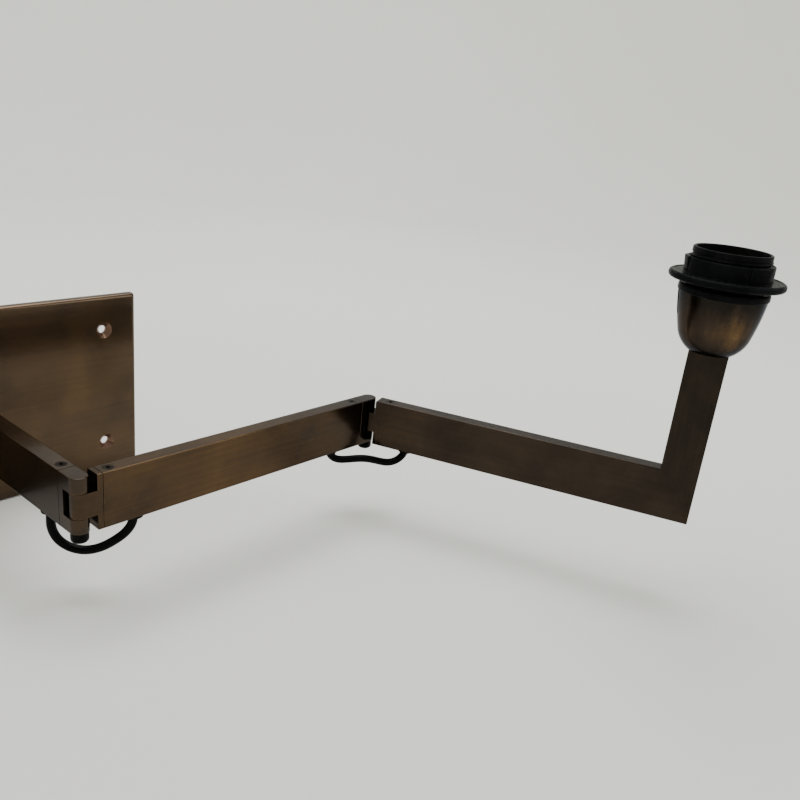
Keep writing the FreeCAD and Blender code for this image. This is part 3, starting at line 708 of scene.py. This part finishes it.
def painted_cup_reflection(paint):
    """The cup's tone, painted reflection: golden round its lower half, dark at its foot and mouth,
    with soft upright streaks.
    """
    height = paint.add("SeparateXYZ", {"Vector": paint.place()}).outputs["Z"]
    low, high = CUP_REFLECTION_TONES[0][0], CUP_REFLECTION_TONES[-1][0]
    share = paint.spread(height, 0, 1, low, high)
    stops = [((z - low) / (high - low), (level,) * 3) for z, level in CUP_REFLECTION_TONES]
    level = paint.ramp(share, *stops)
    # Upright streaks of painted reflection round the holder's axis
    centred = paint.add("VectorMath", operation="SUBTRACT")
    paint.feed(centred.inputs[0], paint.place())
    centred.inputs[1].default_value = HOLDER_FOOT
    flat = paint.add("Mapping", {"Vector": centred.outputs[0], "Scale": (1, 1, CUP_REFLECTION_STRETCH)})
    reflection_bands = paint.noise(flat.outputs[0], CUP_REFLECTION_BANDS, detail=2, rough=0.4)
    return paint.math("ADD", level, paint.spread(reflection_bands, -CUP_REFLECTION_BAND_TONE, CUP_REFLECTION_BAND_TONE))


PLASTIC_DARK = (0.005, 0.0054, 0.0058)
PLASTIC_LIGHT = (0.0086, 0.0092, 0.0098)
RUBBER_DARK = (0.001, 0.001, 0.0011)
RUBBER_LIGHT = (0.0032, 0.0032, 0.0034)
RUBBER_RELIEF = 0.00005
# Sizes of the plain materials' patterns, in waves per metre
FLOW, DUST = 90, 2400
HANDLING, RUBBER_GRAIN = 140, 1800
STAIN, TURNING = 300, 900
TURNING_SQUEEZE = 12


def black_plastic(name):
    """Semi-gloss black moulding with a faint flow pattern and fine dust."""
    paint = Paint(name, Specular_IOR_Level=0.01)
    plain = paint.place()
    flow = paint.noise(plain, FLOW, detail=3)
    grain = paint.noise(plain, DUST, detail=2)
    colour = paint.ramp(flow, (0.35, PLASTIC_DARK), (0.7, PLASTIC_LIGHT))
    paint.feed(paint.shader.inputs["Base Color"], colour)
    paint.feed(paint.shader.inputs["Roughness"], paint.spread(flow, 0.22, 0.36, 0.3, 0.7))
    paint.bump(grain, RELIEF, 0.5)
    return paint.material


def soft_black(name, low, high):
    """Matt black rubber, sheath or enamel, a little greyer in patches."""
    paint = Paint(name, Specular_IOR_Level=0.05)
    plain = paint.place()
    wear = paint.noise(plain, HANDLING, detail=4)
    grain = paint.noise(plain, RUBBER_GRAIN, detail=2)
    colour = paint.ramp(wear, (0.35, RUBBER_DARK), (0.75, RUBBER_LIGHT))
    paint.feed(paint.shader.inputs["Base Color"], colour)
    paint.feed(paint.shader.inputs["Roughness"], paint.spread(wear, low, high, 0.3, 0.7))
    paint.bump(grain, RUBBER_RELIEF, 0.6)
    return paint.material


def plain_metal(name, dark, light, low, high):
    """Machined metal with fine turning marks, from dark to light and from low to high roughness."""
    paint = Paint(name, Metallic=1.0, Specular_Tint=EDGE_TINT)
    plain = paint.place()
    stain = paint.noise(plain, STAIN, detail=4)
    lines = paint.noise(paint.place(scale=(1, 1, TURNING_SQUEEZE)), TURNING, detail=2)
    paint.feed(paint.shader.inputs["Base Color"], paint.ramp(stain, (0.3, dark), (0.7, light)))
    paint.feed(paint.shader.inputs["Roughness"], paint.spread(stain, low, high, 0.3, 0.7))
    paint.bump(lines, RELIEF, 0.5)
    return paint.material


# Stage

TENT_CENTRE = Vector((0.13, -0.17, 0))
TENT_FLOOR_RINGS = (0.3, 0.6, 0.9, 1.2)
TENT_FLAT = 1.5
TENT_SWEEP = 0.9
TENT_SWEEP_STEPS = 16
TENT_TOP = 1.9
TENT_AROUND = 96
TENT_DARK = (0.705, 0.705, 0.67)
TENT_LIGHT = (0.725, 0.725, 0.69)
WORLD_COLOUR = (0.6, 0.6, 0.58, 1)


def add_tent():
    """A round pale floor that sweeps up into a wall all round."""
    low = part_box("backplate")[0].z
    rings = [(radius, low) for radius in TENT_FLOOR_RINGS]
    for step in range(TENT_SWEEP_STEPS + 1):
        turn = math.pi / 2 * step / TENT_SWEEP_STEPS
        out = TENT_FLAT + TENT_SWEEP * math.sin(turn)
        rings.append((out, low + TENT_SWEEP * (1 - math.cos(turn))))
    rings.append((TENT_FLAT + TENT_SWEEP, TENT_TOP))
    around = TENT_AROUND
    vertices = [TENT_CENTRE + UP * low]
    for out, height in rings:
        for turn in even_turns(around):
            place = Vector((out * math.cos(turn), out * math.sin(turn), height))
            vertices.append(TENT_CENTRE + place)
    faces = [(0, 1 + step, 1 + (step + 1) % around) for step in range(around)]
    for ring in range(len(rings) - 1):
        inner, outer = 1 + ring * around, 1 + (ring + 1) * around
        for step in range(around):
            after = (step + 1) % around
            faces.append((inner + step, inner + after, outer + after, outer + step))
    paint = Paint("tent_paint", Roughness=0.8, Specular_IOR_Level=0.1)
    cloud = paint.noise(paint.place(), 2, detail=2)
    colour = paint.ramp(cloud, (0.3, TENT_DARK), (0.7, TENT_LIGHT))
    paint.feed(paint.shader.inputs["Base Color"], colour)
    tent = new_piece("tent", vertices, faces, paint.material)


def add_light(name, place, aim, size, power):
    """A soft rectangular light that faces its aim."""
    data = bpy.data.lights.new(name, "AREA")
    data.shape = "RECTANGLE"
    data.size, data.size_y = size
    data.energy = power
    light = bpy.data.objects.new(name, data)
    light.location = place
    light.rotation_euler = (Vector(aim) - Vector(place)).to_track_quat("-Z", "Y").to_euler()
    bpy.context.scene.collection.objects.link(light)


def add_world():
    world = bpy.data.worlds.new("studio")
    bpy.context.scene.world = world
    world.use_nodes = True
    world.node_tree.nodes["Background"].inputs[0].default_value = WORLD_COLOUR


add_camera()

INNER = ("inner_loop", "inner_knuckle", INNER_LOOP, INNER_LENGTH, "base", "inner_arm")
OUTER = ("outer_loop", "outer_knuckle", OUTER_LOOP, OUTER_LENGTH, "inner_arm", "outer_arm")
LEAD_SHEATH = soft_black("lead_sheath", 0.34, 0.5)
add_cord(*INNER, LEAD_SHEATH)
add_cord(*OUTER, LEAD_SHEATH)

PLATE_CENTRE = Vector((0, 0, 0))
SINKS = (0.0925, 0.039, 0.0054, 0.00444)
SCREW_DARK, SCREW_LIGHT = (0.012, 0.01, 0.008), (0.035, 0.028, 0.022)


def level_turn(start, end):
    """The turn about Z that lays the line from start to end along X."""
    return -math.atan2(end.y - start.y, end.x - start.x)


STUB_TURN = math.pi / 2
INNER_TURN = level_turn(INNER_PIVOT, OUTER_PIVOT)
OUTER_TURN = level_turn(OUTER_PIVOT, HOLDER)
STUB_TONE = along_arm(PLATE_CENTRE, INNER_PIVOT, STUB_TURN, 0.58, 0.52, 0.4)
INNER_TONE = along_arm(INNER_PIVOT, OUTER_PIVOT, INNER_TURN, 0.43, 0.59, 0.59, 0.44, 0.25)
OUTER_TONE = along_arm(OUTER_PIVOT, HOLDER, OUTER_TURN, 0.37, 0.28)
NODE_PAINT = {
    "plate": bronze("bronze_plate", 0.56, wear=0, sinks=SINKS, metal=0.72),
    "stub": bronze("bronze_stub", STUB_TONE, turn=STUB_TURN, metal=0.85),
    "inner": bronze("bronze_inner", INNER_TONE, turn=INNER_TURN),
    "outer": bronze("bronze_outer", OUTER_TONE, turn=OUTER_TURN, wear=0),
    "post": bronze("bronze_post", up_post(0.3, 0.16), upright=True, wear=0),
    # The cup's tone is painted reflection
    "cup": bronze(
        "bronze_cup_painted_reflection", painted_cup_reflection, upright=True, wear=0, rough=(0.2, 0.3), edge=CUP_EDGE_TINT
    ),
    "washer": plain_metal("dull_brass", (0.06, 0.04, 0.02), (0.12, 0.08, 0.04), 0.3, 0.5),
    "dark_steel": plain_metal("screw_steel", SCREW_DARK, SCREW_LIGHT, 0.3, 0.45),
    "steel": plain_metal("zinc", (0.42, 0.42, 0.42), (0.6, 0.6, 0.6), 0.25, 0.4),
    "brass": plain_metal("plain_brass", (0.5, 0.34, 0.14), (0.74, 0.55, 0.27), 0.18, 0.34),
    "rubber": soft_black("gland_rubber", 0.5, 0.7),
    "black_metal": soft_black("cap_enamel", 0.22, 0.4),
    "lead": LEAD_SHEATH,
    "black_plastic": black_plastic("thermoset"),
}
SLOTS = {part["node"]: part["material_slot"] for part in frame["record"]["subparts"]}


def paint_for(node, body):
    if node.endswith("_washer"):
        return NODE_PAINT["washer"]
    if SLOTS[node] != "bronze":
        return NODE_PAINT[SLOTS[node]]
    own = {"backplate": "plate", "post_tube": "post", "post_head": "post", "lamp_cup": "cup"}
    arm = {"base": "stub", "inner_arm": "inner", "outer_arm": "outer"}
    return NODE_PAINT[own.get(node, arm[body])]


for node, item in frame["nodes"].items():
    item.data.materials.clear()
    item.data.materials.append(paint_for(node, item["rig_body"]))

add_sleeve(NODE_PAINT["black_plastic"])
add_shade_ring(NODE_PAINT["black_plastic"])
add_screw_shell(NODE_PAINT["brass"])

add_tent()
add_world()
add_light("overhead", place=(0.5, 0.3, 1.9), aim=(0.6, 0.5, 0), size=(1.6, 1.6), power=52)
add_light("side", place=(1.0, -1.3, 0.7), aim=(0.25, -0.25, 0.0), size=(0.5, 0.9), power=5)
